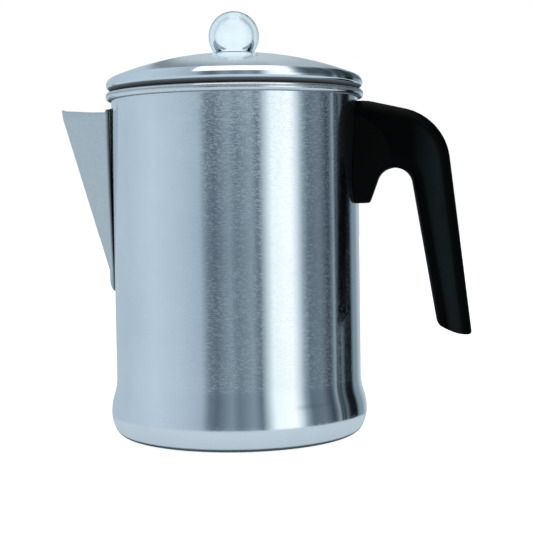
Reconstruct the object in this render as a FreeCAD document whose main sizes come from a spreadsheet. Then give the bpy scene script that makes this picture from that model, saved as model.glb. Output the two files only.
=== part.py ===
import FreeCAD, Part
import math
import os
import Sketcher

# Stovetop coffee percolator, millimetres, +Z up.
# Origin: centre of the flat underside of the pot. Handle towards +X, spout towards -X.

SIZES = {
    # pot
    "wall_radius": 65.0,
    "wall": 1.0,
    "bulge_radius": 68.0,
    "bulge_height": 12.0,
    "shoulder_height": 30.5,
    "bulge_arc": 17.0,
    "corner_height": 3.0,
    "curl_inside": 0.9,
    "curl_high": 178.15,
    "curl_low": 177.6,
    "strainer_hole": 1.6,
    # spout
    "spout_top": 173.2,
    "spout_apex": 71.6,
    "spout_reach": 29.9,
    "spout_half_width": 16.5,
    "spout_nose": 3.2,
    "spout_sheet": 0.9,
    "flange_inside": 65.1,
    "flange_outside": 66.0,
    "flange_width": 4.6,
    # handle
    "grip_half": 11.0,
    "grip_round": 7.5,
    "bend_radius": 30.0,
    "arch_radius": 9.2,
    "saddle_radius": 65.2,
    "saddle_half": 20.0,
    "screw_at": 84.0,
    "screw_radius": 2.0,
    "screw_head": 3.8,
    "tab_height": 149.5,
    "tab_thick": 2.0,
    "rivet_low": 140.0,
    "rivet_high": 158.0,
    "rivet_radius": 1.9,
    # lid
    "lid_sheet": 0.8,
    "lid_radius": 67.5,
    "lid_under": 1.8,
    "lid_crown": 172.0,
    "lid_apex": 200.3,
    "crease_radius": 63.4,
    "skirt_radius": 63.3,
    "skirt_low": 169.0,
    "knob_hole": 9.0,
    # knob
    "knob_centre": 209.2,
    "knob_radius": 13.3,
    "knob_inside": 9.9,
    "knob_bore": 7.4,
    "knob_neck": 8.6,
    "knob_foot": 10.4,
    "knob_seat": 200.85,
    "knob_low": 192.0,
    "lug_radius": 9.9,
    # basket and spreader
    "basket_sheet": 0.8,
    "basket_radius": 50.0,
    "basket_low": 100.0,
    "basket_high": 158.8,
    "basket_hole": 0.9,
    "spreader_plate": 157.5,
    "spreader_lip": 160.5,
    "spreader_hole": 1.0,
    "hub_inside": 5.35,
    "hub_outside": 6.2,
    # pump
    "tube_radius": 5.0,
    "tube_inside": 4.2,
    "tube_low": 19.6,
    "tube_high": 195.0,
    "foot_radius": 30.0,
    "foot_low": 1.3,
    "foot_top": 14.0,
    "disc_radius": 7.2,
}

doc = FreeCAD.newDocument("percolator")
sheet = doc.addObject("Spreadsheet::Sheet", "sizes")
for row, (alias, number) in enumerate(SIZES.items(), start=1):
    sheet.set(f"A{row}", alias)
    sheet.set(f"B{row}", str(number))
    sheet.setAlias(f"B{row}", alias)
doc.recompute()


def text_of(number):
    """Expression text of a plain number or of a Size."""
    return getattr(number, "text", repr(float(number)))


class Size(float):
    """A number that remembers the spreadsheet expression it comes from."""

    def __new__(cls, number, text):
        made = super().__new__(cls, number)
        made.text = text
        return made

    def __add__(self, other):
        return Size(float(self) + float(other), f"({self.text} + {text_of(other)})")

    def __radd__(self, other):
        return Size(float(other) + float(self), f"({text_of(other)} + {self.text})")

    def __sub__(self, other):
        return Size(float(self) - float(other), f"({self.text} - {text_of(other)})")

    def __rsub__(self, other):
        return Size(float(other) - float(self), f"({text_of(other)} - {self.text})")

    def __mul__(self, other):
        return Size(float(self) * float(other), f"({self.text} * {text_of(other)})")

    def __rmul__(self, other):
        return Size(float(other) * float(self), f"({text_of(other)} * {self.text})")

    def __truediv__(self, other):
        return Size(float(self) / float(other), f"({self.text} / {text_of(other)})")

    def __neg__(self):
        return Size(-float(self), f"(-{self.text})")


class Sizes:
    """Reads the spreadsheet's cells by alias."""

    def __getattr__(self, alias):
        return Size(sheet.get(alias), f"sizes.{alias}")


S = Sizes()


def arc_centre(start, end, radius):
    """Centre of the minor arc from start to end, to the left when radius is positive."""
    chord = (end[0] - start[0], end[1] - start[1])
    length = math.hypot(*chord)
    height = math.sqrt(max(0.0, radius * radius - length * length / 4))
    side = math.copysign(height / length, radius)
    return (
        (start[0] + end[0]) / 2 - chord[1] * side,
        (start[1] + end[1]) / 2 + chord[0] * side,
    )


def heading(start, end, radius, at_end):
    """Unit direction of travel at one end of a line or an arc."""
    if not radius:
        length = math.hypot(end[0] - start[0], end[1] - start[1])
        return (end[0] - start[0]) / length, (end[1] - start[1]) / length
    centre = arc_centre(start, end, radius)
    point = end if at_end else start
    return -(point[1] - centre[1]) / radius, (point[0] - centre[0]) / radius


def corner(point):
    """Split a path point into its coordinates and the radius of the arc that leads to it."""
    return (point[0], point[1]), (float(point[2]) if len(point) > 2 else 0.0)


def band(path, thickness):
    """Close an open path into a sheet-metal section that lies on the left of the path."""
    spots = [corner(point) for point in path]
    far = []
    for index, (here, radius) in enumerate(spots):
        ways = []
        if index > 0:
            ways.append(heading(spots[index - 1][0], here, radius, True))
        if index + 1 < len(spots):
            ways.append(heading(here, spots[index + 1][0], spots[index + 1][1], False))
        way = (sum(w[0] for w in ways) / len(ways), sum(w[1] for w in ways) / len(ways))
        square = way[0] ** 2 + way[1] ** 2
        far.append((here[0] - way[1] / square * thickness, here[1] + way[0] / square * thickness))
    section = list(path)
    section.append((float(far[-1][0]), float(far[-1][1])))
    for index in range(len(spots) - 1, 0, -1):
        radius = spots[index][1]
        spot = (float(far[index - 1][0]), float(far[index - 1][1]))
        section.append(spot + (thickness - radius,) if radius else spot)
    return section


def new_body(label):
    """Empty PartDesign body whose label names its file."""
    body = doc.addObject("PartDesign::Body", label)
    body.Label = label
    return body


def new_sketch(body, role, offset=0.0):
    """Sketch on one of the body's own origin planes, moved along its normal."""
    plane = [item for item in body.Origin.OriginFeatures if item.Role == role][0]
    sketch = body.newObject("Sketcher::SketchObject", body.Label + "_sketch")
    sketch.AttachmentSupport = (plane, [""])
    sketch.MapMode = "FlatFace"
    if offset:
        sketch.AttachmentOffset.Base = FreeCAD.Vector(0, 0, float(offset))
        sketch.setExpression("AttachmentOffset.Base.z", text_of(offset))
    return sketch


def bind(sketch, kind, spot, number):
    """Add one dimension to a sketch and bind it when it comes from the spreadsheet."""
    if not isinstance(number, Size):
        return
    if kind == "Radius":
        index = sketch.addConstraint(Sketcher.Constraint(kind, spot, abs(number)))
    elif number < 0:
        number = -number
        index = sketch.addConstraint(Sketcher.Constraint(kind, *spot, -1, 1, float(number)))
    else:
        index = sketch.addConstraint(Sketcher.Constraint(kind, -1, 1, *spot, float(number)))
    sketch.setExpression(f"Constraints[{index}]", text_of(number))


def draw(sketch, path):
    """Closed outline of lines and arcs; a third number in a point is its arc's radius."""
    spots = [corner(point) for point in path]
    ends = []
    for index, (here, radius) in enumerate(spots):
        before = spots[index - 1][0]
        if radius:
            centre = arc_centre(before, here, radius)
            first, last = (before, here) if radius > 0 else (here, before)
            begin = math.atan2(first[1] - centre[1], first[0] - centre[0])
            finish = math.atan2(last[1] - centre[1], last[0] - centre[0])
            circle = Part.Circle(FreeCAD.Vector(*centre, 0), FreeCAD.Vector(0, 0, 1), abs(radius))
            edge = sketch.addGeometry(Part.ArcOfCircle(circle, begin, finish))
            ends.append((edge, 1, 2) if radius > 0 else (edge, 2, 1))
        else:
            line = Part.LineSegment(FreeCAD.Vector(*before, 0), FreeCAD.Vector(*here, 0))
            ends.append((sketch.addGeometry(line), 1, 2))
    for index, (edge, begin, finish) in enumerate(ends):
        following = ends[(index + 1) % len(ends)]
        joint = Sketcher.Constraint("Coincident", edge, finish, following[0], following[1])
        sketch.addConstraint(joint)
        bind(sketch, "DistanceX", (edge, finish), path[index][0])
        bind(sketch, "DistanceY", (edge, finish), path[index][1])


def draw_circle(sketch, across, along, radius):
    """One round hole or boss in a sketch."""
    spot = FreeCAD.Vector(float(across), float(along), 0)
    edge = sketch.addGeometry(Part.Circle(spot, FreeCAD.Vector(0, 0, 1), float(radius)))
    bind(sketch, "Radius", edge, radius)
    bind(sketch, "DistanceX", (edge, 3), across)
    bind(sketch, "DistanceY", (edge, 3), along)


def box_path(x_low, x_high, y_low, y_high):
    """Rectangle between two corners."""
    return [(x_low, y_low), (x_high, y_low), (x_high, y_high), (x_low, y_high)]


def add(body, kind, sketch, **settings):
    """PartDesign feature on a sketch; a Size setting is bound to its cell."""
    feature = body.newObject("PartDesign::" + kind, body.Label + "_" + kind.lower())
    feature.Profile = sketch
    if kind in ("Revolution", "Groove"):
        feature.ReferenceAxis = (sketch, ["V_Axis"])
        feature.Angle = 360.0
    for name, setting in settings.items():
        setattr(feature, name, float(setting) if isinstance(setting, Size) else setting)
        if isinstance(setting, Size):
            feature.setExpression(name, text_of(setting))
    doc.recompute()
    return feature


def turned(label, path):
    """Body of revolution about the pot's axis."""
    body = new_body(label)
    sketch = new_sketch(body, "XZ_Plane")
    draw(sketch, path)
    add(body, "Revolution", sketch)
    return body


def drill_rings(body, rings, radius, level):
    """Rings of small holes straight down through a plate that lies just above level."""
    sketch = new_sketch(body, "XY_Plane", level)
    for ring, count in rings:
        for index in range(count):
            angle = 2 * math.pi * index / count
            draw_circle(sketch, ring * math.cos(angle), ring * math.sin(angle), radius)
    return add(body, "Pocket", sketch, Length=3.0, Reversed=True)


# ---------------------------------------------------------------- pot

sine = (S.bulge_height - S.corner_height) / S.bulge_arc
cosine = math.sqrt(1 - sine * sine)
corner_arc = S.corner_height / (1 - float(sine))
corner_radius = S.bulge_radius - S.bulge_arc * (1 - cosine)
half_rise = (S.shoulder_height - S.bulge_height) / 2
half_step = (S.bulge_radius - S.wall_radius) / 2
sway = (half_rise * half_rise + half_step * half_step) / (2 * half_step)

pot = turned("pot_shell", band([
    (0.0, 0.0),
    (corner_radius - corner_arc * cosine, 0.0),
    (corner_radius, S.corner_height, corner_arc),
    (S.bulge_radius, S.bulge_height, S.bulge_arc),
    (S.wall_radius + half_step, S.bulge_height + half_rise, sway),
    (S.wall_radius, S.shoulder_height, -sway),
    (S.wall_radius, S.curl_high),
    (S.wall_radius + 2 * S.curl_inside, S.curl_high, -S.curl_inside),
    (S.wall_radius + 2 * S.curl_inside, S.curl_low),
    (S.wall_radius + S.curl_inside, S.curl_low - S.curl_inside, -S.curl_inside),
], S.wall))

strainer = new_sketch(pot, "YZ_Plane")
for level, count in ((114, 1), (122, 2), (130, 1), (138, 2), (146, 3), (154, 4), (162, 3)):
    for index in range(count):
        draw_circle(strainer, 6.0 * (index - (count - 1) / 2), float(level), S.strainer_hole)
add(pot, "Pocket", strainer, Type="ThroughAll")

rivet_holes = new_sketch(pot, "YZ_Plane")
for level in (S.rivet_low, S.rivet_high):
    draw_circle(rivet_holes, 0.0, level, S.rivet_radius + 0.1)
add(pot, "Pocket", rivet_holes, Type="ThroughAll", Reversed=True)

# ---------------------------------------------------------------- spout


def spout_section(level, inset):
    """V-shaped plan of the spout with a round nose, shrunk by an inset."""
    scale = (level - S.spout_apex) / (S.spout_top - S.spout_apex)
    nose = S.spout_nose * scale
    centre = -S.wall_radius - S.spout_reach * scale + nose
    wall_at = -math.sqrt(S.wall_radius ** 2 - S.spout_half_width ** 2) + S.wall_radius
    run = -S.wall_radius + wall_at * scale - centre
    width = S.spout_half_width * scale
    slope = math.atan2(width, run) - math.asin(nose / math.hypot(width, run))
    round_nose = max(nose - inset, 0.12)
    slide = max(0.0, inset + round_nose - nose) / math.sin(slope)
    centre = centre + slide
    touch = centre - round_nose * math.sin(slope)
    side = round_nose * math.cos(slope)
    root = -S.wall_radius + 6.0
    root_side = side + (root - touch) * math.tan(slope)
    return [(root, root_side), (touch, side), (touch, -side, round_nose), (root, -root_side)]


spout = new_body("spout")
flange = new_sketch(spout, "XZ_Plane")
draw(flange, box_path(-S.flange_outside, -S.flange_inside, 75.0, 171.6))
add(spout, "Revolution", flange, Angle=44.0, Midplane=True)
trim = new_sketch(spout, "YZ_Plane")
for side in (1, -1):
    top_edge = side * (S.spout_half_width + S.flange_width)
    draw(trim, [
        (0.0, 75.0), (side * 2.6, 75.6), (side * 4.2, 78.4), (top_edge, S.spout_top),
        (top_edge, 180.0), (side * 45.0, 180.0), (side * 45.0, 60.0), (0.0, 60.0),
    ])
add(spout, "Pocket", trim, Type="ThroughAll", AllowMultiFace=True)
for kind, inset, rise in (("AdditiveLoft", 0.0, 4.0), ("SubtractiveLoft", float(S.spout_sheet), 15.0)):
    lower = new_sketch(spout, "XY_Plane", S.spout_apex + rise)
    draw(lower, spout_section(S.spout_apex + rise, inset))
    upper = new_sketch(spout, "XY_Plane", S.spout_top + 0.4)
    draw(upper, spout_section(S.spout_top + 0.4, inset))
    add(spout, kind, lower, Sections=[upper], Ruled=True)
toe = new_sketch(spout, "XZ_Plane")
draw(toe, [
    (-65.2, 75.2), (-67.2, 75.4), (-69.0, 79.0, -4.2), (-69.2, 81.0), (-69.2, 86.4), (-65.2, 86.4),
])
add(spout, "Pad", toe, Length=3.2, Midplane=True)
lip = new_sketch(spout, "XZ_Plane")
draw(lip, [
    (-66.3, 170.0), (-87.6, 171.6), (-91.9, 172.95), (-99.0, 173.2), (-99.0, 179.0), (-66.3, 179.0),
])
add(spout, "Pocket", lip, Type="ThroughAll", Midplane=True)
bore = new_sketch(spout, "XZ_Plane")
draw(bore, box_path(0.0, S.flange_inside, 60.0, 190.0))
add(spout, "Groove", bore)

# ---------------------------------------------------------------- handle

steep = math.radians(9.5)
lean = math.radians(20.0)
fall = math.radians(12.95)
flare = math.radians(6.7)
bend = (82.66, 140.33)
arch = (83.95, 129.65)
bend_start = (bend[0] + S.bend_radius * math.sin(fall), bend[1] + S.bend_radius * math.cos(fall))
bend_end = (bend[0] + S.bend_radius * math.cos(flare), bend[1] + S.bend_radius * math.sin(flare))
arch_right = (arch[0] + S.arch_radius * math.cos(steep), arch[1] + S.arch_radius * math.sin(steep))
arch_left = (arch[0] - S.arch_radius * math.cos(lean), arch[1] + S.arch_radius * math.sin(lean))
arch_crown = (arch[0], arch[1] + S.arch_radius)
grip_low = 40.0
outer_low = bend_end[0] + (bend_end[1] - grip_low) * math.tan(flare)
inner_low = arch_right[0] + (arch_right[1] - grip_low) * math.tan(steep)
pad_foot = 120.6
pad_toe = arch_left[0] - (arch_left[1] - pad_foot) * math.tan(lean)
pad_round = [(pad_toe - 1.0, pad_foot), (pad_toe + math.sin(lean), pad_foot + math.cos(lean), 1.43)]
top_turn = (72.8, bend_start[1] + (bend_start[0] - 72.8) * math.tan(fall))
top_edge = 174.0

grip = new_body("handle_grip")
outline = new_sketch(grip, "XZ_Plane")
draw(outline, [
    (60.0, top_edge),
    (60.0, pad_foot),
    *pad_round,
    arch_left,
    (arch_crown[0], arch_crown[1], -S.arch_radius),
    (arch_right[0], arch_right[1], -S.arch_radius),
    (inner_low, grip_low),
    (outer_low, grip_low),
    bend_end,
    (bend_start[0], bend_start[1], S.bend_radius),
    top_turn,
    (66.4, top_edge, 28.4),
])
slab = add(grip, "Pad", outline, Length=2 * S.grip_half, Midplane=True)
rims = []
for index, edge in enumerate(slab.Shape.Edges, start=1):
    middle = edge.CenterOfMass
    if abs(middle.y) > S.grip_half - 0.01 and middle.x > 62.0 and middle.z > grip_low + 1.0:
        if middle.z > pad_foot + 0.1 or middle.x > 90.0:
            rims.append(f"Edge{index}")
rounding = grip.newObject("PartDesign::Fillet", "grip_rounding")
rounding.Base = (slab, rims)
rounding.Radius = float(S.grip_round)
rounding.setExpression("Radius", S.grip_round.text)
doc.recompute()

end_cut = new_sketch(grip, "XZ_Plane")
draw(end_cut, [
    (95.0, 58.7), (105.25, 58.7), (107.3, 56.0, 3.8), (114.5, 52.95, 50.0), (121.3, 51.85, 22.6),
    (123.2, 53.6, 1.8), (135.0, 53.6), (135.0, 30.0), (95.0, 30.0),
])
add(grip, "Pocket", end_cut, Type="ThroughAll", Midplane=True)


def saddle_section(body, at, half, top_half, top, foot):
    """Shield-shaped section of the handle's root, wide near its foot."""
    sketch = new_sketch(body, "YZ_Plane", at)
    widest = foot + 0.26 * (top - foot)
    foot_half = 0.66 * half
    sweep = 1.1 * (widest - foot)
    draw(sketch, [
        (-top_half, top), (-half, widest, 75.0), (-foot_half, foot, sweep),
        (foot_half, foot), (half, widest, sweep), (top_half, top, 75.0),
    ])
    return sketch


root = saddle_section(grip, 59.0, S.saddle_half, 7.5, 173.9, pad_foot)
waist = saddle_section(grip, 68.5, 0.83 * S.saddle_half, 6.6, 173.2, pad_foot)
blend_end = saddle_section(grip, 83.0, 10.6, 4.6, 170.3, 135.0)
add(grip, "AdditiveLoft", root, Sections=[waist, blend_end])
arch_cut = new_sketch(grip, "XZ_Plane")
draw(arch_cut, [
    *pad_round,
    arch_left,
    (arch_crown[0], arch_crown[1], -S.arch_radius),
    (arch_right[0] - 0.5, arch_right[1], -S.arch_radius),
    (arch_right[0] - 0.5, 100.0),
    (60.0, 100.0),
    (60.0, pad_foot),
])
add(grip, "Pocket", arch_cut, Type="ThroughAll", Midplane=True)
wall_cut = new_sketch(grip, "XZ_Plane")
draw(wall_cut, box_path(0.0, S.saddle_radius, 100.0, 190.0))
add(grip, "Groove", wall_cut)
plate_slot = new_sketch(grip, "YZ_Plane")
draw(plate_slot, box_path(-8.4, 8.4, 132.0, 166.0))
add(grip, "Pocket", plate_slot, Length=68.3, Reversed=True)
tab_slot = new_sketch(grip, "YZ_Plane")
draw(tab_slot, box_path(-6.9, 6.9, S.tab_height - 0.3, S.tab_height + S.tab_thick + 3.8))
add(grip, "Pocket", tab_slot, Length=S.screw_at + 6.4, Reversed=True)
for radius, reach in ((S.screw_radius + 0.15, 159.0), (S.screw_head + 0.4, 144.3)):
    hole = new_sketch(grip, "XY_Plane", 100.0)
    draw_circle(hole, S.screw_at, 0.0, radius)
    add(grip, "Pocket", hole, Length=reach - 100.0, Reversed=True)

bracket = new_body("handle_bracket")
plate = new_sketch(bracket, "XZ_Plane")
draw(plate, box_path(S.wall_radius + 0.05, S.wall_radius + 1.35, 133.5, 164.5))
add(bracket, "Revolution", plate, Angle=14.0, Midplane=True)
tab = new_sketch(bracket, "XZ_Plane")
draw(tab, box_path(S.wall_radius + 0.5, S.screw_at + 5.5, S.tab_height, S.tab_height + S.tab_thick))
add(bracket, "Pad", tab, Length=13.0, Midplane=True)
holes = new_sketch(bracket, "YZ_Plane")
for level in (S.rivet_low, S.rivet_high):
    draw_circle(holes, 0.0, level, S.rivet_radius + 0.1)
add(bracket, "Pocket", holes, Type="ThroughAll", Reversed=True)
screw_hole = new_sketch(bracket, "XY_Plane", 140.0)
draw_circle(screw_hole, S.screw_at, 0.0, S.screw_radius + 0.1)
add(bracket, "Pocket", screw_hole, Length=30.0, Reversed=True)

nut = new_body("bracket_nut")
block = new_sketch(nut, "XY_Plane", S.tab_height + S.tab_thick + 0.05)
draw(block, box_path(S.screw_at - 3.5, S.screw_at + 3.5, -3.5, 3.5))
draw_circle(block, S.screw_at, 0.0, S.screw_radius + 0.1)
add(nut, "Pad", block, Length=3.2)


def spindle(label, path, centre):
    """Body turned about an upright or level axis of its own, then moved to its centre."""
    body = new_body(label)
    sketch = new_sketch(body, "XZ_Plane")
    draw(sketch, path)
    add(body, "Revolution", sketch)
    body.Placement.Base = FreeCAD.Vector(*[float(value) for value in centre])
    body.setExpression("Placement.Base.x", text_of(centre[0]))
    return body


screw = spindle("handle_screw", [
    (0.0, 0.0), (2.6, 0.0), (S.screw_head, 1.2, 1.8), (S.screw_head, 2.4), (S.screw_radius, 2.4),
    (S.screw_radius, 14.4), (1.4, 15.0), (0.0, 15.0),
], (S.screw_at, 0.0, 140.9))
drive = new_sketch(screw, "XY_Plane")
draw(drive, box_path(-3.9, 3.9, -0.5, 0.5))
add(screw, "Pocket", drive, Length=1.1, Reversed=True)
spindle("handle_washer", box_path(S.screw_radius + 0.15, S.screw_head, 0.0, 0.8), (S.screw_at, 0.0, 143.4))

rivets = doc.addObject("Part::Feature", "bracket_rivets")
rivets.Label = "bracket_rivets"
rivet_set = []
for level in (S.rivet_low, S.rivet_high):
    start = FreeCAD.Vector(S.wall_radius - S.wall - 0.15, 0, level)
    shank = Part.makeCylinder(S.rivet_radius, S.wall + 1.8, start, FreeCAD.Vector(1, 0, 0))
    tail_start = FreeCAD.Vector(S.wall_radius + 1.42, 0, level)
    tail = Part.makeCylinder(3.1, 1.1, tail_start, FreeCAD.Vector(1, 0, 0))
    ball = Part.makeSphere(5.4, FreeCAD.Vector(S.wall_radius - S.wall + 3.4, 0, level))
    cap_box = Part.makeBox(2.0, 12.0, 12.0, FreeCAD.Vector(S.wall_radius - S.wall - 2.25, -6.0, level - 6.0))
    rivet_set.append(shank.fuse(tail).fuse(ball.common(cap_box)).removeSplitter())
rivets.Shape = Part.makeCompound(rivet_set)
rivets.Placement = FreeCAD.Placement()

# ---------------------------------------------------------------- lid and knob

seat = S.curl_high - (S.wall_radius + S.curl_inside) + (S.curl_inside + S.wall + 0.3) * math.sqrt(2)
under_x = S.lid_radius - S.lid_under
under_z = under_x + seat + S.lid_under * math.sqrt(2)
half = math.sqrt(0.5)
crown_base = S.lid_apex - S.lid_crown
crease_z = crown_base + math.sqrt(S.lid_crown ** 2 - S.crease_radius ** 2)
lid_path = [
    (S.skirt_radius, S.skirt_low),
    (S.skirt_radius, S.skirt_radius + seat - 0.62),
    (S.skirt_radius + 0.44, S.skirt_radius + seat + 0.44, -1.5),
    (under_x + S.lid_under * half, under_z - S.lid_under * half),
    (S.lid_radius, under_z, S.lid_under),
    (S.lid_radius - 1.3, under_z + 3.0, 4.1),
    (S.crease_radius, crease_z, 9.3),
    (S.knob_hole, crown_base + math.sqrt(S.lid_crown ** 2 - S.knob_hole ** 2), S.lid_crown),
]
lid = turned("lid_shell", band(lid_path, S.lid_sheet))
notches = new_sketch(lid, "XY_Plane", 190.0)
for side in (1, -1):
    draw(notches, box_path(-4.2, 4.2, side * 8.0, side * (S.lug_radius + 0.3)))
add(lid, "Pocket", notches, Length=20.0, Reversed=True)

inner_mouth = S.knob_centre - math.sqrt(S.knob_inside ** 2 - S.knob_bore ** 2)
foot_edge = S.knob_centre - math.sqrt(S.knob_radius ** 2 - S.knob_foot ** 2)
knob = turned("knob_bulb", [
    (S.knob_bore, S.knob_low),
    (S.knob_neck - 0.5, S.knob_low),
    (S.knob_neck, S.knob_low + 0.5, 0.5),
    (S.knob_neck, S.knob_seat - 0.2),
    (S.knob_foot, S.knob_seat - 0.2),
    (S.knob_foot, foot_edge),
    (0.0, S.knob_centre + S.knob_radius, S.knob_radius),
    (0.0, S.knob_centre + S.knob_inside),
    (S.knob_bore, inner_mouth, -S.knob_inside),
])
lugs = new_sketch(knob, "XY_Plane", 196.7)
for side in (1, -1):
    reach = math.sqrt(S.lug_radius ** 2 - 3.2 ** 2)
    draw(lugs, [
        (side * 7.8, -3.2), (side * reach, -3.2), (side * reach, 3.2, side * S.lug_radius), (side * 7.8, 3.2),
    ])
add(knob, "Pad", lugs, Length=1.7)
turned("knob_gasket", [
    (8.75, 200.25), (9.9, 200.25), (10.1, 200.42, 0.4), (9.9, 200.59, 0.4), (8.75, 200.59),
])

# ---------------------------------------------------------------- spreader and basket

curl = 0.6
plate_holes = [(14.0, 8), (22.0, 14), (30.0, 20), (38.0, 26)]
spreader = turned("spreader_plate", band([
    (6.0, 172.0),
    (6.0, S.spreader_plate + 2.0),
    (8.0, S.spreader_plate, 2.0),
    (45.6, S.spreader_plate),
    (47.4, S.spreader_plate + 1.8, 1.8),
    (47.4, S.spreader_lip - 1.0),
    (48.4, S.spreader_lip, -1.0),
    (S.basket_radius + 1.6, S.spreader_lip),
], S.basket_sheet))
drill_rings(spreader, plate_holes, S.spreader_hole, S.spreader_plate - 0.5)

basket = turned("basket_shell", band([
    (S.hub_outside + 0.05, S.basket_low),
    (S.basket_radius - 4.0, S.basket_low),
    (S.basket_radius, S.basket_low + 4.0, 4.0),
    (S.basket_radius, S.basket_high),
    (S.basket_radius + 2 * curl, S.basket_high, -curl),
    (S.basket_radius + curl, S.basket_high - curl, -curl),
], S.basket_sheet))
drill_rings(basket, [(14.0, 10), (22.0, 16), (30.0, 22), (38.0, 28)], S.basket_hole, S.basket_low - 0.5)

hub_low = S.basket_low - 1.1
turned("basket_hub", [
    (S.hub_inside, hub_low), (S.hub_outside, hub_low), (S.hub_outside, S.basket_low + 0.85),
    (8.5, S.basket_low + 0.85), (8.5, S.basket_low + 1.65), (S.hub_outside, S.basket_low + 1.65),
    (S.hub_outside, S.basket_low + 12.0), (S.hub_inside, S.basket_low + 12.0),
])

# ---------------------------------------------------------------- pump

turned("pump_tube", box_path(S.tube_inside, S.tube_radius, S.tube_low, S.tube_high))
turned("basket_stop", [
    (S.tube_radius + 0.03, 95.8), (6.0, 95.8), (7.2, 97.2, 1.3), (6.0, 98.6, 1.3),
    (S.tube_radius + 0.03, 98.6),
])
foot = turned("pump_foot", band([
    (S.foot_radius, S.foot_low), (S.foot_radius, S.foot_low + 0.9),
    (S.foot_radius - 11.8, S.foot_top, 11.8), (4.5, S.foot_top),
], 0.8))
for role in ("XZ_Plane", "YZ_Plane"):
    gate = new_sketch(foot, role)
    draw(gate, [(-4.0, 0.0), (4.0, 0.0), (4.0, 3.0), (0.0, 5.5, 4.6), (-4.0, 3.0, 4.6)])
    add(foot, "Pocket", gate, Type="ThroughAll", Midplane=True)
turned("pump_collar", [
    (8.0, 14.05), (10.8, 14.05), (10.8, 14.85), (8.8, 14.85), (8.8, 19.9), (8.4, 20.3, 0.4), (5.85, 20.3),
    (5.85, 25.0), (5.05, 25.0), (5.05, 19.5), (8.0, 19.5),
])
turned("valve_seat", [
    (3.0, 12.6), (4.45, 12.6), (4.45, 14.05), (6.4, 14.05), (6.4, 14.8), (3.0, 14.8),
])
turned("valve_disc", [
    (0.0, 15.1), (S.disc_radius - 0.3, 15.1), (S.disc_radius, 15.4, 0.3), (S.disc_radius, 16.1), (0.0, 16.1),
])

# ---------------------------------------------------------------- checks and files

doc.recompute()
for item in doc.Objects:
    if "Invalid" in item.State or "Error" in item.State:
        raise RuntimeError(f"{item.Label} is {item.State}")

NODES = [item for item in doc.Objects if item.TypeId == "PartDesign::Body"] + [rivets]
os.makedirs("parts", exist_ok=True)
for node in NODES:
    if node.Shape.isNull() or not node.Shape.isValid() or not node.Shape.Solids:
        raise RuntimeError(f"{node.Label} has no valid solid")
    node.Shape.exportStep(os.path.join("parts", node.Label + ".step"))
    box = node.Shape.optimalBoundingBox(False)
    print(f"{node.Label:16} {node.Shape.Volume:9.0f} mm3  x {box.XMin:.1f} {box.XMax:.1f}  "
          f"y {box.YMin:.1f} {box.YMax:.1f}  z {box.ZMin:.1f} {box.ZMax:.1f}")
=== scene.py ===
import math

import bmesh
import bpy
from mathutils import Matrix, Vector


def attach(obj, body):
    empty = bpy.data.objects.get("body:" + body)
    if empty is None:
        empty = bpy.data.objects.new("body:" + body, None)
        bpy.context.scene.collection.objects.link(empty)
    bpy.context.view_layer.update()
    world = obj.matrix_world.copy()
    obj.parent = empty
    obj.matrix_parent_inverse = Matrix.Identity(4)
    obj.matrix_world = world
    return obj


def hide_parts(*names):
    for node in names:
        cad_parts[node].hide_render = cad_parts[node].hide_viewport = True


# Stovetop coffee percolator. Metres; +Z up, handle towards +X, spout towards -X.

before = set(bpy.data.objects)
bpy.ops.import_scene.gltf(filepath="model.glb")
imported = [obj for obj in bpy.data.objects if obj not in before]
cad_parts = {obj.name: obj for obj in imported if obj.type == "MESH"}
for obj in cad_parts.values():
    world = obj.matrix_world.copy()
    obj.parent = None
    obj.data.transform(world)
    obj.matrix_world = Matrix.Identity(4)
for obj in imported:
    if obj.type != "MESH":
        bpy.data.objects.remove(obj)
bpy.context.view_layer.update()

# Outlines and sizes are written in millimetres.
MM = 0.001


# ---------------------------------------------------------------- outlines

def arc_points(start, end, radius, count):
    """Points after start along the minor arc to end, bulging right of the way when radius is positive."""
    across = (end[0] - start[0], end[1] - start[1])
    length = math.hypot(*across)
    height = math.sqrt(max(0.0, radius * radius - length * length / 4))
    side = math.copysign(height / length, radius)
    centre = ((start[0] + end[0]) / 2 - across[1] * side, (start[1] + end[1]) / 2 + across[0] * side)
    first = math.atan2(start[1] - centre[1], start[0] - centre[0])
    last = math.atan2(end[1] - centre[1], end[0] - centre[0])
    turn = (last - first) % (2 * math.pi)
    if radius < 0:
        turn -= 2 * math.pi
    return [
        (centre[0] + abs(radius) * math.cos(first + turn * step / count),
         centre[1] + abs(radius) * math.sin(first + turn * step / count))
        for step in range(1, count + 1)
    ]


def outline(path, spacing=0.5):
    """Open outline of lines and arcs, with arcs divided finely; path points are (x, y[, radius])."""
    fewest = 6
    most = 90
    points = [path[0][:2]]
    for spot in path[1:]:
        if len(spot) > 2:
            reach = math.hypot(spot[0] - points[-1][0], spot[1] - points[-1][1])
            count = max(fewest, min(most, int(reach / spacing)))
            points += arc_points(points[-1], spot[:2], spot[2], count)
        else:
            points.append(spot[:2])
    return points


def thicken(points, thickness):
    """Closed section of a sheet that lies on the left of an open outline."""
    far = []
    for index, here in enumerate(points):
        ways = []
        for a, b in ((index - 1, index), (index, index + 1)):
            if a >= 0 and b < len(points):
                run = (points[b][0] - points[a][0], points[b][1] - points[a][1])
                length = math.hypot(*run)
                ways.append((run[0] / length, run[1] / length))
        way = (sum(w[0] for w in ways) / len(ways), sum(w[1] for w in ways) / len(ways))
        square = way[0] ** 2 + way[1] ** 2
        far.append((here[0] - way[1] / square * thickness, here[1] + way[0] / square * thickness))
    return points + far[::-1]


def faded(distance, width):
    """Share that grows from 0 to 1 over a width."""
    return max(0.0, min(1.0, distance / width))


# ---------------------------------------------------------------- meshes

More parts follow.
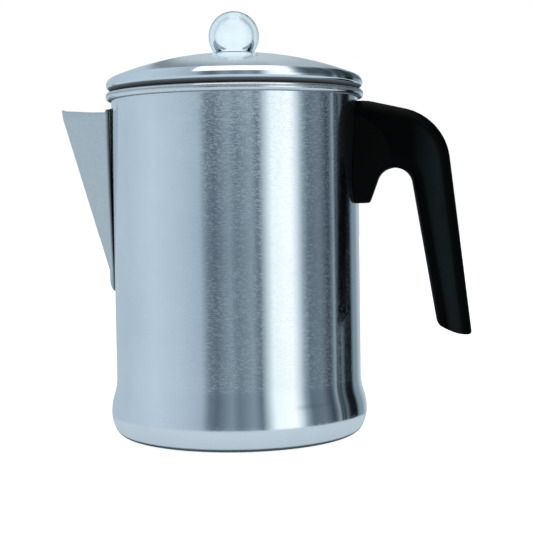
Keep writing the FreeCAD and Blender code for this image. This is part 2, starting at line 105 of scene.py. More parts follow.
def finish_mesh(name, built, smooth_angle=35.0):
    """Turn a bmesh into a smooth-shaded object with its sharp edges kept."""
    mesh = bpy.data.meshes.new(name)
    built.to_mesh(mesh)
    built.free()
    piece = bpy.data.objects.new(name, mesh)
    bpy.context.scene.collection.objects.link(piece)
    mesh.shade_smooth()
    mesh.set_sharp_from_angle(angle=math.radians(smooth_angle))
    return piece


def lathe(name, section, segments=256, smooth_angle=35.0, painted_shade=None):
    """Closed (radius, height) section in millimetres turned about the pot's axis.

    The given function of (radius, height) gives the share of painted shade, a dark colour standing in for
    shade, at each point of the section.
    """
    built = bmesh.new()
    layer = built.verts.layers.float.new("painted_shade")
    rings = []
    for radius, height in section:
        if radius < 1e-6:
            rings.append([built.verts.new((0.0, 0.0, height * MM))])
            continue
        ring = []
        for step in range(segments):
            angle = 2 * math.pi * step / segments
            vert = built.verts.new((radius * MM * math.cos(angle), radius * MM * math.sin(angle),
                                    height * MM))
            vert[layer] = painted_shade(radius, height) if painted_shade else 0.0
            ring.append(vert)
        rings.append(ring)
    for index, ring in enumerate(rings):
        following = rings[(index + 1) % len(rings)]
        if len(ring) == 1 and len(following) == 1:
            continue
        for step in range(segments):
            after = (step + 1) % segments
            corners = [ring[step % len(ring)], ring[after % len(ring)],
                       following[after % len(following)], following[step % len(following)]]
            unique = [vert for spot, vert in enumerate(corners) if vert not in corners[:spot]]
            built.faces.new(unique)
    bmesh.ops.recalc_face_normals(built, faces=built.faces)
    return finish_mesh(name, built, smooth_angle)


def drilled(piece, drills):
    """Cut drills, given as (centre, radius, length) in millimetres and all along X, out of a piece."""
    along = Vector((1, 0, 0)).to_track_quat("Z", "Y").to_matrix().to_4x4()
    built = bmesh.new()
    for centre, radius, length in drills:
        bmesh.ops.create_cone(built, cap_ends=True, segments=24, radius1=radius * MM, radius2=radius * MM,
                              depth=length * MM, matrix=Matrix.Translation(Vector(centre) * MM) @ along)
    tool = finish_mesh(piece.name + "_drills", built)
    cut = piece.modifiers.new("holes", "BOOLEAN")
    cut.object = tool
    cut.solver = "EXACT"
    bpy.context.view_layer.update()
    shape = bpy.data.meshes.new_from_object(piece.evaluated_get(bpy.context.evaluated_depsgraph_get()))
    piece.modifiers.clear()
    piece.data = shape
    shape.set_sharp_from_angle(angle=math.radians(35.0))
    bpy.data.objects.remove(tool)


# ---------------------------------------------------------------- material nodes

def new_material(name):
    """Node material, its tree and its Principled shader."""
    material = bpy.data.materials.new(name)
    material.use_nodes = True
    return material, material.node_tree, material.node_tree.nodes["Principled BSDF"]


def node(tree, kind, **settings):
    """Add a node with its settings."""
    made = tree.nodes.new(kind)
    for key, value in settings.items():
        setattr(made, key, value)
    return made


def math_node(tree, operation, first, second=None):
    """Math node fed by sockets or numbers."""
    made = node(tree, "ShaderNodeMath", operation=operation)
    for index, feed in enumerate((first, second)):
        if feed is None:
            continue
        if isinstance(feed, (int, float)):
            made.inputs[index].default_value = feed
        else:
            tree.links.new(feed, made.inputs[index])
    return made.outputs[0]


def blended(tree, first, first_share, second, second_share):
    """Sum of two values, each times its share."""
    return math_node(tree, "ADD", math_node(tree, "MULTIPLY", first, first_share),
                     math_node(tree, "MULTIPLY", second, second_share))


def split_axes(tree, vector):
    """The three parts of a vector."""
    split = node(tree, "ShaderNodeSeparateXYZ")
    tree.links.new(vector, split.inputs[0])
    return split.outputs


def object_place(tree):
    """Place in the object's own frame, in metres."""
    return node(tree, "ShaderNodeTexCoord").outputs["Object"]


def ramp(tree, feed, stops):
    """Colour ramp; stops are (position, grey or colour)."""
    made = node(tree, "ShaderNodeValToRGB")
    elements = made.color_ramp.elements
    while len(elements) < len(stops):
        elements.new(0.5)
    for element, (position, colour) in zip(elements, stops):
        element.position = position
        if isinstance(colour, (int, float)):
            colour = (colour, colour, colour)
        element.color = (*colour, 1.0)
    tree.links.new(feed, made.inputs[0])
    return made.outputs[0]


def between(tree, value, low, high, first=0.0, last=1.0):
    """Number that goes from first to last as a value goes from low to high."""
    made = node(tree, "ShaderNodeMapRange")
    for key, number in (("From Min", low), ("From Max", high), ("To Min", first), ("To Max", last)):
        made.inputs[key].default_value = number
    tree.links.new(value, made.inputs["Value"])
    return made.outputs["Result"]


def mixed(tree, factor, first, second):
    """Mix two colours by a factor socket."""
    made = node(tree, "ShaderNodeMix", data_type="RGBA")
    tree.links.new(factor, made.inputs[0])
    for index, colour in ((6, first), (7, second)):
        if isinstance(colour, tuple):
            made.inputs[index].default_value = (*colour, 1.0)
        else:
            tree.links.new(colour, made.inputs[index])
    return made.outputs[2]


def noise(tree, vector, scale, detail=3.0, roughness=0.6):
    """Noise texture value."""
    made = node(tree, "ShaderNodeTexNoise")
    made.inputs["Scale"].default_value = scale
    made.inputs["Detail"].default_value = detail
    made.inputs["Roughness"].default_value = roughness
    tree.links.new(vector, made.inputs["Vector"])
    return made.outputs["Fac"]


def bumped(tree, shader, height, strength, distance):
    """Bump the shader's normal with a height."""
    bump = node(tree, "ShaderNodeBump")
    bump.inputs["Strength"].default_value = strength
    bump.inputs["Distance"].default_value = distance
    tree.links.new(height, bump.inputs["Height"])
    tree.links.new(bump.outputs[0], shader.inputs["Normal"])


def ring_coordinates(tree, around, up):
    """Object coordinates unrolled about the pot's axis: turn times around, radius and height times up."""
    x, y, z = split_axes(tree, object_place(tree))
    angle = math_node(tree, "ARCTAN2", y, x)
    square = math_node(tree, "ADD", math_node(tree, "MULTIPLY", x, x), math_node(tree, "MULTIPLY", y, y))
    distance = math_node(tree, "SQRT", square)
    joined = node(tree, "ShaderNodeCombineXYZ")
    tree.links.new(math_node(tree, "MULTIPLY", angle, around), joined.inputs[0])
    tree.links.new(math_node(tree, "MULTIPLY", distance, up), joined.inputs[1])
    tree.links.new(math_node(tree, "MULTIPLY", z, up), joined.inputs[2])
    return joined.outputs[0]


# ---------------------------------------------------------------- materials

# Painted shade: a near-black colour and extra roughness laid where shade falls in creases, gaps and under
# the foot.
PAINTED_SHADE_COLOUR = (0.004, 0.005, 0.006)
PAINTED_SHADE_ROUGHNESS = 0.8
# Heights in metres between which the brushed metal's spots grow from half to full strength.
SPOT_HEIGHTS = (0.024, 0.072)
# Where the painted sheen lies on the handle, in metres: its flat sides, by |y|, from the arch outwards, by
# x.
SHEEN_SIDES = (0.0105, 0.0111)
SHEEN_REACH = (0.0925, 0.105)


def with_painted_shade(tree, shader, colour, roughness):
    """Feed a metal's colour, shine and roughness through painted shade: a dark colour laid in its seams and
    gaps where shade falls.
    """
    painted_shade = node(tree, "ShaderNodeAttribute", attribute_name="painted_shade").outputs["Fac"]
    shader.inputs["Specular IOR Level"].default_value = 0.0
    tree.links.new(math_node(tree, "SUBTRACT", 1.0, painted_shade), shader.inputs["Metallic"])
    tree.links.new(mixed(tree, painted_shade, colour, PAINTED_SHADE_COLOUR), shader.inputs["Base Color"])
    rougher = math_node(tree, "MULTIPLY", painted_shade, PAINTED_SHADE_ROUGHNESS)
    tree.links.new(math_node(tree, "ADD", roughness, rougher), shader.inputs["Roughness"])


def turned_metal(name, light, dark, rough, spread, streak, anisotropy):
    """Metal brushed round the pot's axis: fine streaks, slow clouding and scuffs, fainter near the foot."""
    material, tree, shader = new_material(name)
    shader.inputs["Anisotropic"].default_value = anisotropy
    shader.inputs["Anisotropic Rotation"].default_value = 0.25
    tangent = node(tree, "ShaderNodeTangent", direction_type="RADIAL", axis="Z")
    tree.links.new(tangent.outputs[0], shader.inputs["Tangent"])
    lines = noise(tree, ring_coordinates(tree, 7.0, 2600.0), 1.0, 2.0, 0.7)
    grain = noise(tree, ring_coordinates(tree, 40.0, 1900.0), 1.0, 3.0, 0.75)
    clouds = noise(tree, ring_coordinates(tree, 1.6, 22.0), 1.0, 4.0, 0.6)
    streaks = blended(tree, lines, 0.5, grain, 0.5)
    tint = node(tree, "ShaderNodeMix", data_type="RGBA", blend_type="MULTIPLY")
    tint.inputs[0].default_value = 1.0
    tree.links.new(ramp(tree, streaks, [(0.36, dark), (0.62, light)]), tint.inputs[6])
    tree.links.new(ramp(tree, clouds, [(0.3, 0.93), (0.7, 1.0)]), tint.inputs[7])
    height = split_axes(tree, object_place(tree))[2]
    faint = between(tree, height, *SPOT_HEIGHTS, first=0.5)
    spots = math_node(tree, "MULTIPLY", ramp(tree, grain, [(0.46, 0.0), (0.60, 1.0)]), faint)
    wear = blended(tree, spots, spread, clouds, 0.06)
    with_painted_shade(tree, shader, tint.outputs[2], math_node(tree, "ADD", wear, rough))
    bumped(tree, shader, streaks, streak, 0.00006)
    return material


def plain_metal(name, light, dark, rough, takes_painted_shade=False):
    """Sheet or plated metal with a fine mottled grain and faint scuffs."""
    material, tree, shader = new_material(name)
    where = object_place(tree)
    grain = noise(tree, where, 900.0, 4.0, 0.7)
    clouds = noise(tree, where, 45.0, 3.0)
    wear = math_node(tree, "MULTIPLY", math_node(tree, "ADD", grain, clouds), 0.12)
    tint = mixed(tree, ramp(tree, grain, [(0.35, 0.0), (0.65, 1.0)]), dark, light)
    roughness = math_node(tree, "ADD", wear, rough)
    # Pieces with seams take painted shade, a dark colour where their creases are shaded.
    if takes_painted_shade:
        with_painted_shade(tree, shader, tint, roughness)
    else:
        shader.inputs["Metallic"].default_value = 1.0
        tree.links.new(tint, shader.inputs["Base Color"])
        tree.links.new(roughness, shader.inputs["Roughness"])
    bumped(tree, shader, grain, 0.25, 0.00003)
    return material


def moulded_plastic(name, colour, sheen_colour, rough, gloss):
    """Moulded plastic: fine pebble, flow marks, and a painted sheen that lightens the flat grip sides."""
    material, tree, shader = new_material(name)
    where = object_place(tree)
    pebble = noise(tree, where, 2600.0, 2.0)
    flow = noise(tree, where, 60.0, 5.0, 0.65)
    x, y, _ = split_axes(tree, where)
    # Painted sheen: the flat grip sides are lightened, broken up by the flow marks.
    side = between(tree, math_node(tree, "ABSOLUTE", y), *SHEEN_SIDES)
    sheen_along = between(tree, x, *SHEEN_REACH)
    marks = ramp(tree, flow, [(0.3, 0.75), (0.7, 1.0)])
    painted_sheen = math_node(tree, "MULTIPLY", math_node(tree, "MULTIPLY", side, sheen_along), marks)
    tree.links.new(mixed(tree, painted_sheen, colour, sheen_colour), shader.inputs["Base Color"])
    sheen = blended(tree, flow, 0.12, pebble, 0.05)
    tree.links.new(math_node(tree, "ADD", sheen, rough), shader.inputs["Roughness"])
    bumped(tree, shader, pebble, 0.12, 0.00005)
    shader.inputs["Specular IOR Level"].default_value = gloss
    return material


def clear_plastic(name):
    """Clear moulded plastic with a faint blue depth and surface haze."""
    tint = (0.96, 0.98, 0.99)
    hazed = (0.9984, 1.0, 1.0)
    material, tree, shader = new_material(name)
    shader.inputs["Transmission Weight"].default_value = 1.0
    shader.inputs["IOR"].default_value = 1.49
    haze = noise(tree, object_place(tree), 260.0, 3.0)
    tree.links.new(mixed(tree, haze, tint, hazed), shader.inputs["Base Color"])
    rough = math_node(tree, "ADD", math_node(tree, "MULTIPLY", haze, 0.03), 0.01)
    tree.links.new(rough, shader.inputs["Roughness"])
    bumped(tree, shader, haze, 0.04, 0.0001)
    depth = node(tree, "ShaderNodeVolumeAbsorption")
    depth.inputs["Color"].default_value = (0.14, 0.32, 0.41, 1.0)
    depth.inputs["Density"].default_value = 110.0
    tree.links.new(depth.outputs[0], tree.nodes["Material Output"].inputs["Volume"])
    return material


BRUSHED = turned_metal("brushed_aluminium", light=(0.92, 0.94, 0.96), dark=(0.88, 0.905, 0.93),
                       rough=0.05, spread=0.15, streak=0.14, anisotropy=0.7)
POLISHED = turned_metal("polished_aluminium", light=(0.92, 0.95, 0.97), dark=(0.86, 0.90, 0.93),
                        rough=0.06, spread=0.05, streak=0.08, anisotropy=0.4)
SATIN = plain_metal("satin_aluminium", light=(0.74, 0.77, 0.77), dark=(0.66, 0.69, 0.70), rough=0.30,
                    takes_painted_shade=True)
MILL = plain_metal("mill_aluminium", light=(0.84, 0.86, 0.88), dark=(0.74, 0.76, 0.79), rough=0.20)
STEEL = plain_metal("plated_steel", light=(0.72, 0.73, 0.74), dark=(0.58, 0.59, 0.61), rough=0.22)
STAINLESS = plain_metal("stainless", light=(0.74, 0.75, 0.76), dark=(0.66, 0.67, 0.69), rough=0.16)
PHENOLIC = moulded_plastic("black_phenolic", colour=(0.0010, 0.0014, 0.0013),
                           sheen_colour=(0.018, 0.023, 0.0225), rough=0.34, gloss=0.035)
SILICONE = moulded_plastic("silicone", colour=(0.55, 0.58, 0.60), sheen_colour=(0.66, 0.69, 0.71),
                           rough=0.38, gloss=0.4)
CLEAR = clear_plastic("clear_plastic")


def place(piece, material, body, slot, *nodes):
    """Dress a piece, ride it on its body and hide the CAD nodes that it takes the place of."""
    piece.data.materials.clear()
    piece.data.materials.append(material)
    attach(piece, body)
    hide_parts(*nodes)


# ---------------------------------------------------------------- pot

WALL_RADIUS = 65.0
WALL = 1.0
BULGE_RADIUS = 68.0
BULGE_HEIGHT = 12.0
BULGE_ARC = 17.0
CORNER_HEIGHT = 3.0
SHOULDER_HEIGHT = 30.5
MID_WALL = 100.0
CURL_INSIDE = 0.9
CURL_HIGH = 178.15
CURL_LOW = 177.6
CURL_RADIUS = WALL_RADIUS + CURL_INSIDE
RIM_RADIUS = CURL_RADIUS + CURL_INSIDE + WALL
RIM_TOP = CURL_HIGH + CURL_INSIDE + WALL
RIVET_LEVELS = (140.0, 158.0)
RIVET_RADIUS = 2.0
# Strainer holes: (height, holes in the row).
STRAINER_ROWS = [(114, 1), (122, 2), (130, 1), (138, 2), (146, 3), (154, 4), (162, 3)]
STRAINER_RADIUS = 1.6
STRAINER_PITCH = 6.0


def pot_outline():
    """Outside of the pot, from the middle of its base to the end of the rim's curl.

    A ring half way up keeps the wall's faces short.
    """
    sine = (BULGE_HEIGHT - CORNER_HEIGHT) / BULGE_ARC
    cosine = math.sqrt(1 - sine * sine)
    corner_arc = CORNER_HEIGHT / (1 - sine)
    corner_radius = BULGE_RADIUS - BULGE_ARC * (1 - cosine)
    inset = (BULGE_RADIUS - WALL_RADIUS) / 2
    rise = (SHOULDER_HEIGHT - BULGE_HEIGHT) / 2
    sway = (rise ** 2 + inset ** 2) / (2 * inset)
    return outline([
        (0.0, 0.0),
        (corner_radius - corner_arc * cosine, 0.0),
        (corner_radius, CORNER_HEIGHT, corner_arc),
        (BULGE_RADIUS, BULGE_HEIGHT, BULGE_ARC),
        (WALL_RADIUS + inset, BULGE_HEIGHT + rise, sway),
        (WALL_RADIUS, SHOULDER_HEIGHT, -sway),
        (WALL_RADIUS, MID_WALL),
        (WALL_RADIUS, CURL_HIGH),
        (CURL_RADIUS + CURL_INSIDE, CURL_HIGH, -CURL_INSIDE),
        (CURL_RADIUS + CURL_INSIDE, CURL_LOW),
        (CURL_RADIUS, CURL_LOW - CURL_INSIDE, -CURL_INSIDE),
    ])


def pot_painted_shade(radius, height):
    """Painted shade under the foot, on the part of the rim that the lid covers, and round the rim's curl.
    """
    soft = 0.4
    foot_top = 0.6
    covered_radius = RIM_RADIUS - 0.5
    covered_low = RIM_TOP - 0.55
    side_radius = RIM_RADIUS - 0.8
    side_top = CURL_LOW + 1.1
    under_radius = WALL_RADIUS + 0.1
    under_top = CURL_LOW - 1.3
    under_low = CURL_LOW - 2.6
    if height < foot_top:
        return 0.85 * faded(foot_top - height, soft)
    if WALL_RADIUS < radius < covered_radius and height > covered_low:
        return faded(covered_radius - radius, 0.3)
    if radius > side_radius and CURL_LOW < height < side_top:
        return 0.45 * min(faded(height - CURL_LOW, soft), faded(side_top - height, soft))
    if radius > under_radius and under_low < height < under_top:
        return 0.7 * faded(under_top - height, soft)
    return 0.0


def pot_drills():
    """Rivet holes behind the handle and strainer holes behind the spout."""
    reach = 8.0
    deep_reach = 12.0
    inward = 1.5
    drills = [((WALL_RADIUS - WALL / 2, 0, level), RIVET_RADIUS, reach) for level in RIVET_LEVELS]
    for level, count in STRAINER_ROWS:
        for index in range(count):
            across = STRAINER_PITCH * (index - (count - 1) / 2)
            drills.append(((inward - WALL_RADIUS, across, level), STRAINER_RADIUS, deep_reach))
    return drills


pot = lathe("pot_skin", thicken(pot_outline(), WALL), painted_shade=pot_painted_shade)
drilled(pot, pot_drills())
place(pot, BRUSHED, "pot", "brushed_aluminium", "pot_shell")

# ---------------------------------------------------------------- lid

LID_SHEET = 0.8
LID_RADIUS = 67.5
LID_UNDER = 1.8
LID_CROWN = 172.0
LID_APEX = 200.3
LID_CREASE = 63.4
SKIRT_RADIUS = 63.3
SKIRT_LOW = 169.0
KNOB_HOLE = 9.0
# The lid's 45 degree seat lies this far off the rim's curl.
SEAT_GAP = 0.3
SEAT = CURL_HIGH - CURL_RADIUS + (CURL_INSIDE + WALL + SEAT_GAP) * math.sqrt(2)
UNDER_RADIUS = LID_RADIUS - LID_UNDER
UNDER_HEIGHT = UNDER_RADIUS + SEAT + LID_UNDER * math.sqrt(2)
SEAT_END = (UNDER_RADIUS + LID_UNDER * math.sqrt(0.5), UNDER_HEIGHT - LID_UNDER * math.sqrt(0.5))


def dome_height(radius):
    """Height of the lid's dome at a radius."""
    return LID_APEX - LID_CROWN + math.sqrt(LID_CROWN ** 2 - radius ** 2)


def lid_outline():
    """Underside of the skirt and seat, round the lid's edge and over the dome to the knob's hole."""
    fold_arc = 1.5
    fold_drop = 0.62
    fold_out = 0.44
    edge_arc = 4.1
    edge_rise = 3.0
    edge_inset = 1.3
    shoulder_arc = 9.3
    return outline([
        (SKIRT_RADIUS, SKIRT_LOW),
        (SKIRT_RADIUS, SKIRT_RADIUS + SEAT - fold_drop),
        (SKIRT_RADIUS + fold_out, SKIRT_RADIUS + SEAT + fold_out, -fold_arc),
        (SEAT_END[0] - SEAT_GAP, SEAT_END[1] - SEAT_GAP),
        SEAT_END,
        (LID_RADIUS, UNDER_HEIGHT, LID_UNDER),
        (LID_RADIUS - edge_inset, UNDER_HEIGHT + edge_rise, edge_arc),
        (LID_CREASE, dome_height(LID_CREASE), shoulder_arc),
        (KNOB_HOLE, dome_height(KNOB_HOLE), LID_CROWN),
    ], spacing=0.35)


def lid_painted_shade(radius, height):
    """Painted shade in the gap where the lid's edge turns down on to the rolled rim."""
    unshaded = 0.2
    soft = 0.15
    return faded(SEAT_END[1] - unshaded - height, soft) if radius > SKIRT_RADIUS else 0.0


lid = lathe("lid_skin", thicken(lid_outline(), LID_SHEET), smooth_angle=50.0, painted_shade=lid_painted_shade)
place(lid, POLISHED, "lid", "polished_aluminium", "lid_shell")

# ---------------------------------------------------------------- knob

KNOB_CENTRE = 209.2
KNOB_RADIUS = 13.3
KNOB_INSIDE = 9.9
KNOB_BORE = 7.4
KNOB_NECK = 8.6
KNOB_FOOT = 10.4
KNOB_SEAT = 200.65
KNOB_LOW = 192.0


def knob_section():
    """Half of the hollow ball with its foot and neck, up the outside and down the inside."""
    neck_round = 0.5
    foot_round = 0.2
    outside = outline([
        (KNOB_BORE, KNOB_LOW),
        (KNOB_NECK - neck_round, KNOB_LOW),
        (KNOB_NECK, KNOB_LOW + neck_round, neck_round),
        (KNOB_NECK, KNOB_SEAT),
        (KNOB_FOOT - foot_round, KNOB_SEAT),
        (KNOB_FOOT, KNOB_SEAT + foot_round, foot_round),
        (KNOB_FOOT, KNOB_CENTRE - math.sqrt(KNOB_RADIUS ** 2 - KNOB_FOOT ** 2)),
        (0.0, KNOB_CENTRE + KNOB_RADIUS, KNOB_RADIUS),
    ])
    mouth = KNOB_CENTRE - math.sqrt(KNOB_INSIDE ** 2 - KNOB_BORE ** 2)
    return outside + outline([(0.0, KNOB_CENTRE + KNOB_INSIDE), (KNOB_BORE, mouth, -KNOB_INSIDE)])


knob = lathe("knob_glass", knob_section(), segments=160)
place(knob, CLEAR, "knob", "clear_plastic", "knob_bulb")

# ---------------------------------------------------------------- spout

SPOUT_APEX = 71.6
SPOUT_HEIGHT = 101.6
SPOUT_REACH = 29.5
SPOUT_HALF = 16.5
SPOUT_NOSE = 3.2
SPOUT_SHEET = 0.85
NOSE_STEPS = 8
FLANGE_RADIUS = 66.0
FLANGE_WIDTH = 4.2
FLANGE_TOP = 171.5
# The closed lower tip rounds off between these heights, and the flange's edge below the third.
TIP_LOW = 75.0
TIP_HIGH = 81.0
FLANGE_ROUND = 79.0
# Rows of the sheet, closer together round the tip.
TIP_LEVELS = [75.15, 75.5, 76.0, 76.7, 77.6, 78.8, 80.0, 81.5, 83.5, 86.4]
TOP_LEVEL = 170.0
UPPER_ROWS = 40
# Columns of the cheek: distance from the wall's fold, with the least share of the way to it.
CHEEK_COLUMNS = [(12.0, 0.14), (7.0, 0.27), (4.5, 0.40), (3.2, 0.52), (2.4, 0.62), (1.9, 0.72),
                 (1.4, 0.81), (0.9, 0.89), (0.4, 0.95)]
# Painted shade on the flange's columns, from the fold to the cut edge, and the level and height over which
# it grows.
FLANGE_SHADES = (1.0, 0.6, 0.15, 0.08, 0.08, 0.3, 1.0)
FLANGE_SHADE_LOW = 56.75
FLANGE_SOFT = 35.0
# The lip's height at distances from the axis, rising to the nose.
LIP = [(66.4, 170.0), (74.0, 170.3), (87.0, 171.0), (90.5, 171.5), (92.5, 172.1), (95.0, 172.9)]


def spout_plan(level):
    """Half of the folded sheet's plan at one height, from nose to fold.

    Gives the points, each point's distance from the fold, and the fold's angle round the wall.
    """
    tip_reach = 1.05
    tip_swell = 3.15
    tip_half = 1.5
    tip_taper = 0.9
    tip_nose = 1.0
    scale = max((level - SPOUT_APEX) / SPOUT_HEIGHT, 0.03)
    low = max(0.0, (TIP_HIGH - level) / (TIP_HIGH - TIP_LOW))
    reach = max(SPOUT_REACH * scale, tip_reach + tip_swell * math.sqrt(max(0.0, 1 - low * low)))
    width = max(SPOUT_HALF * scale, tip_half - tip_taper * low)
    nose = max(SPOUT_NOSE * scale, min(tip_nose, 0.7 * width))
    centre = -WALL_RADIUS - reach + nose
    run = -math.sqrt(WALL_RADIUS ** 2 - width ** 2) - centre
    slope = math.atan2(width, run) - math.asin(min(1.0, nose / math.hypot(width, run)))
    points = []
    for step in range(NOSE_STEPS + 1):
        angle = math.pi - (math.pi / 2 - slope) * step / NOSE_STEPS
        points.append((centre + nose * math.cos(angle), nose * math.sin(angle)))
    fold = math.asin(width / FLANGE_RADIUS)
    root = (-FLANGE_RADIUS * math.cos(fold), width)
    start = points[-1]
    length = math.hypot(root[0] - start[0], root[1] - start[1])
    gaps = [length] * len(points)
    for away, least in CHEEK_COLUMNS:
        share = max(1 - away / length, least)
        points.append((start[0] + (root[0] - start[0]) * share, start[1] + (root[1] - start[1]) * share))
        gaps.append((1 - share) * length)
    return points, gaps, fold


def seam_painted_shade(gap, level):
    """Painted shade in the fold between cheek and wall, thinner lower down."""
    low_spread = 0.62
    full_height = 172.0
    fade_end = 2.95
    fade_width = 2.5
    spread = low_spread + (1 - low_spread) * (level - TIP_LOW) / (full_height - TIP_LOW)
    return faded(fade_end - gap / spread, fade_width)


def flange_angles(level, fold):
    """Angles round the wall of the flange's columns, from fold to edge, which rounds off low down."""
    least_half = 0.6
    bend = 0.9 / FLANGE_RADIUS
    least_run = 0.004
    narrowest = 0.1
    half = max(SPOUT_HALF * (level - SPOUT_APEX) / SPOUT_HEIGHT, least_half)
    edge = math.asin((half + FLANGE_WIDTH) / FLANGE_RADIUS)
    if level < FLANGE_ROUND:
        drop = (FLANGE_ROUND - level) / (FLANGE_ROUND - TIP_LOW)
        edge *= narrowest + (1 - narrowest) * math.sqrt(max(0.0, 1 - drop ** 2))
    first = fold + bend
    last = max(edge, first + least_run)
    steps = len(FLANGE_SHADES) - 1
    return [first + (last - first) * step / steps for step in range(steps + 1)]


def spout_row(built, layer, level):
    """Vertices of the whole sheet at one height, from one flange's edge round the nose to the other's."""
    points, gaps, fold = spout_plan(level)
    painted_shades = [seam_painted_shade(gap, level) for gap in gaps]
    for angle, painted_shade in zip(flange_angles(level, fold), FLANGE_SHADES):
        points.append((-FLANGE_RADIUS * math.cos(angle), FLANGE_RADIUS * math.sin(angle)))
        painted_shades.append(faded(level - FLANGE_SHADE_LOW, FLANGE_SOFT) * painted_shade)
    row = []
    pairs = list(zip(points, painted_shades))
    for side, chosen in ((1, pairs[:0:-1]), (-1, pairs)):
        for (x, y), painted_shade in chosen:
            vert = built.verts.new((x * MM, side * y * MM, level * MM))
            vert[layer] = painted_shade
            row.append(vert)
    return row


def lip_height(distance):
    """Height of the sheet's top edge at a distance from the axis."""
    for (near, low), (far, high) in zip(LIP, LIP[1:]):
        if near < distance <= far:
            return low + (high - low) * (distance - near) / (far - near)
    return FLANGE_TOP


def build_spout():
    """Folded sheet: two cheeks with a round nose, and a flange that hugs the wall."""
    built = bmesh.new()
    layer = built.verts.layers.float.new("painted_shade")
    first = TIP_LEVELS[-1]
    levels = TIP_LEVELS + [first + (TOP_LEVEL - first) * n / UPPER_ROWS for n in range(1, UPPER_ROWS + 1)]
    grid = [spout_row(built, layer, level) for level in levels]
    for low, high in zip(grid, grid[1:]):
        for step in range(len(low) - 1):
            built.faces.new((low[step], low[step + 1], high[step + 1], high[step]))
    for vert in grid[-1]:
        vert.co.z = lip_height(-vert.co.x / MM) * MM
    bmesh.ops.recalc_face_normals(built, faces=built.faces)
    return finish_mesh("spout_sheet", built, 60.0)


spout = build_spout()
sheet = spout.modifiers.new("sheet", "SOLIDIFY")
sheet.thickness = SPOUT_SHEET * MM
sheet.offset = -1.0
place(spout, SATIN, "pot", "satin_aluminium", "spout")

# ---------------------------------------------------------------- pieces carried over from the frame

CARRIED_OVER = [
    (PHENOLIC, ["handle_grip"]),
    (STEEL, ["handle_bracket", "bracket_nut", "handle_screw", "handle_washer"]),
    (SILICONE, ["knob_gasket"]),
    (MILL, ["bracket_rivets", "spreader_plate", "basket_shell", "basket_hub", "basket_stop",
            "pump_tube", "pump_foot", "pump_collar"]),
    (STAINLESS, ["valve_seat", "valve_disc"]),
]

for finish, names in CARRIED_OVER:
    for name in names:
        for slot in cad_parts[name].material_slots:
            slot.material = finish

# ---------------------------------------------------------------- studio

# The camera and the room are turned about the pot by this much.
TURN = math.radians(7.0)
AROUND = Matrix.Rotation(TURN, 4, "Z")

# Room's light, by the direction in degrees from the camera, positive to the right.
RING = [
    (-180, (0.42, 0.52, 0.60)), (-150, (0.46, 0.56, 0.64)), (-120, (0.46, 0.57, 0.67)),
    (-82, (0.53, 0.65, 0.75)), (-53, (0.45, 0.56, 0.66)), (-34, (0.36, 0.46, 0.54)),
    (-27, (0.15, 0.20, 0.24)), (-20, (0.10, 0.14, 0.18)), (-7, (0.23, 0.29, 0.35)),
    (0, (0.14, 0.20, 0.24)), (13, (0.24, 0.31, 0.37)), (20, (0.11, 0.16, 0.20)),
    (25, (0.46, 0.55, 0.62)), (32, (0.95, 1.08, 1.12)), (50, (1.10, 1.16, 1.18)),
    (56, (0.72, 0.84, 0.90)), (62, (0.28, 0.36, 0.42)), (68, (0.11, 0.16, 0.20)),
    (81, (0.15, 0.19, 0.24)), (92, (0.04, 0.06, 0.08)), (96, (0.10, 0.14, 0.17)),
    (100, (0.30, 0.38, 0.44)), (102.6, (0.035, 0.05, 0.065)), (105, (0.08, 0.11, 0.13)),
    (107.5, (0.015, 0.03, 0.045)), (111, (0.12, 0.17, 0.19)), (116, (0.01, 0.01, 0.02)),
    (128, (0.004, 0.007, 0.01)), (134, (0.20, 0.27, 0.32)), (143, (0.22, 0.30, 0.36)),
    (154, (0.46, 0.55, 0.60)), (180, (0.60, 0.68, 0.72)),
]
# The ceiling's light by direction, and the heights between which it takes over from the ring.
CEILING = [(-180, (0.46, 0.54, 0.60)), (0, (0.55, 0.63, 0.69)), (180, (0.48, 0.56, 0.62))]
CEILING_HEIGHTS = [(60, 0.0), (68, 1.0)]
# Patches laid over the room: colour, strength by direction and strength by height. A height is the tilt
# in degrees of the metal that mirrors it to the front.
PATCHES = [
    # dark gap round the ceiling's edge
    ((0.09, 0.13, 0.16),
     [(-170, 0.0), (-140, 0.7), (-40, 0.7), (36, 0.6), (56, 0.25), (150, 0.2)],
     [(66, 0.0), (68, 1.0), (70, 1.0), (74, 0.0)]),
    # dark screen on the right
    ((0.035, 0.05, 0.06),
     [(48, 0.0), (58, 0.7), (150, 0.7), (170, 0.0)],
     [(10, 0.0), (16, 1.0), (50, 1.0), (60, 0.0)]),
    # bright panel above the camera
    ((1.35, 1.4, 1.42),
     [(-38, 0.0), (-36, 1.0), (44, 1.0), (52, 0.0)],
     [(26, 0.0), (28, 1.0), (65, 1.0), (67, 0.0)]),
]
# The table's light, by height, and the downward part of a direction over which the table takes over.
TABLE = [(-51, (0.06, 0.08, 0.09)), (-43, (0.50, 0.60, 0.68)), (-8, (0.57, 0.67, 0.74))]
TABLE_DROP = (0.195, 0.215)
# Backward part of a direction over which the light seen through clear plastic grows to its full white.
BACKDROP = (0.30, 0.86)


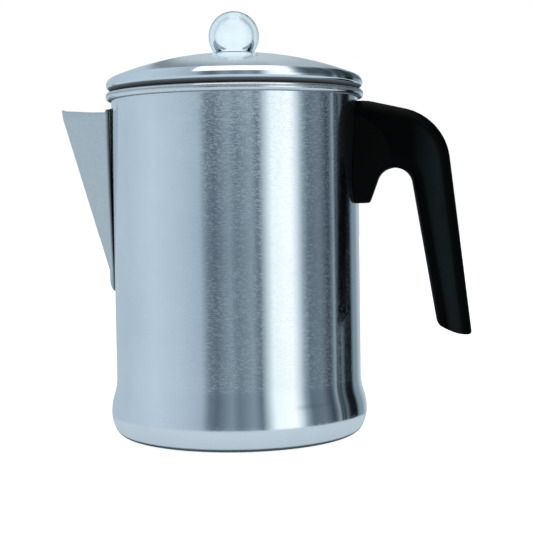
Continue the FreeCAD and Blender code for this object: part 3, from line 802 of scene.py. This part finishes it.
def studio_world():
    """White room with tall soft panels and dark gaps all round the table.

    A direction is looked up by the facing of the metal that mirrors it to the front: share goes once
    round the room, and level from metal facing straight down to metal facing straight up.
    """
    world = bpy.data.worlds.new("studio")
    bpy.context.scene.world = world
    world.use_nodes = True
    tree = world.node_tree
    background = tree.nodes["Background"]
    turn = node(tree, "ShaderNodeVectorRotate", rotation_type="Z_AXIS")
    turn.inputs["Angle"].default_value = math.pi / 2 - TURN
    tree.links.new(node(tree, "ShaderNodeTexCoord").outputs["Generated"], turn.inputs["Vector"])
    toward = node(tree, "ShaderNodeVectorMath", operation="ADD")
    tree.links.new(turn.outputs[0], toward.inputs[0])
    toward.inputs[1].default_value = (1.0, 0.0, 0.0)
    middle = node(tree, "ShaderNodeVectorMath", operation="NORMALIZE")
    tree.links.new(toward.outputs[0], middle.inputs[0])
    x, y, z = split_axes(tree, middle.outputs[0])
    angle = math_node(tree, "ARCTAN2", y, x)
    share = math_node(tree, "ADD", math_node(tree, "DIVIDE", angle, math.pi), 0.5)
    tilt = math_node(tree, "ARCSINE", z)
    level = math_node(tree, "ADD", math_node(tree, "DIVIDE", tilt, math.pi), 0.5)

    def by_direction(bands):
        return ramp(tree, share, [(0.5 + degrees / 360.0, shade) for degrees, shade in bands])

    def by_height(bands):
        return ramp(tree, level, [(0.5 + degrees / 180.0, shade) for degrees, shade in bands])

    room = mixed(tree, by_height(CEILING_HEIGHTS), by_direction(RING), by_direction(CEILING))
    for colour, directions, heights in PATCHES:
        strength = math_node(tree, "MULTIPLY", by_direction(directions), by_height(heights))
        room = mixed(tree, strength, room, colour)
    forward, _, upward = split_axes(tree, turn.outputs[0])
    table = between(tree, math_node(tree, "MULTIPLY", upward, -1.0), *TABLE_DROP)
    room = mixed(tree, table, room, by_height(TABLE))
    path = node(tree, "ShaderNodeLightPath")
    behind = between(tree, math_node(tree, "MULTIPLY", forward, -1.0), *BACKDROP, first=0.45)
    through = math_node(tree, "MULTIPLY", path.outputs["Is Transmission Ray"], behind)
    seen = math_node(tree, "MAXIMUM", path.outputs["Is Camera Ray"], through)
    tree.links.new(mixed(tree, seen, room, (1.0, 1.0, 1.0)), background.inputs["Color"])
    glow = math_node(tree, "ADD", math_node(tree, "MULTIPLY", through, 0.75), 1.0)
    tree.links.new(glow, background.inputs["Strength"])


def studio_floor():
    """Plain pale table, which gives a dimmer light than the camera sees."""
    built = bmesh.new()
    bmesh.ops.create_grid(built, x_segments=2, y_segments=2, size=3.0)
    floor = finish_mesh("table", built)
    floor.location.z = -0.0002
    material, tree, shader = new_material("pale_table")
    shader.inputs["Roughness"].default_value = 0.9
    shader.inputs["Specular IOR Level"].default_value = 0.0
    shader.inputs["Emission Color"].default_value = (1.0, 1.0, 1.0, 1.0)
    shader.inputs["Emission Strength"].default_value = 0.86
    paper = noise(tree, object_place(tree), 30.0)
    tree.links.new(ramp(tree, paper, [(0.2, 0.48), (0.8, 0.52)]), shader.inputs["Base Color"])
    dim = node(tree, "ShaderNodeEmission")
    dim.inputs["Color"].default_value = (0.52, 0.61, 0.70, 1.0)
    pick = node(tree, "ShaderNodeMixShader")
    tree.links.new(node(tree, "ShaderNodeLightPath").outputs["Is Camera Ray"], pick.inputs[0])
    tree.links.new(dim.outputs[0], pick.inputs[1])
    tree.links.new(shader.outputs[0], pick.inputs[2])
    tree.links.new(pick.outputs[0], tree.nodes["Material Output"].inputs["Surface"])
    floor.data.materials.append(material)
    floor.visible_glossy = False


def studio_camera():
    """Camera a little above the pot's middle, panned, dipped and rolled by small angles."""
    eye = (0.0, -0.6755, 0.12664)
    pan = -0.0229
    dip = 0.0579
    roll = -0.0150
    lens = bpy.data.cameras.new("camera")
    lens.lens = 85.65
    lens.sensor_width = 36.0
    lens.clip_start = 0.01
    camera = bpy.data.objects.new("camera", lens)
    bpy.context.scene.collection.objects.link(camera)
    level = Matrix.Rotation(math.pi / 2 - dip, 4, "X")
    aim = Matrix.Rotation(pan, 4, "Z") @ level @ Matrix.Rotation(roll, 4, "Z")
    camera.matrix_world = AROUND @ Matrix.Translation(eye) @ aim
    bpy.context.scene.camera = camera


studio_world()
studio_floor()
studio_camera()
bpy.context.scene.view_settings.view_transform = "Standard"
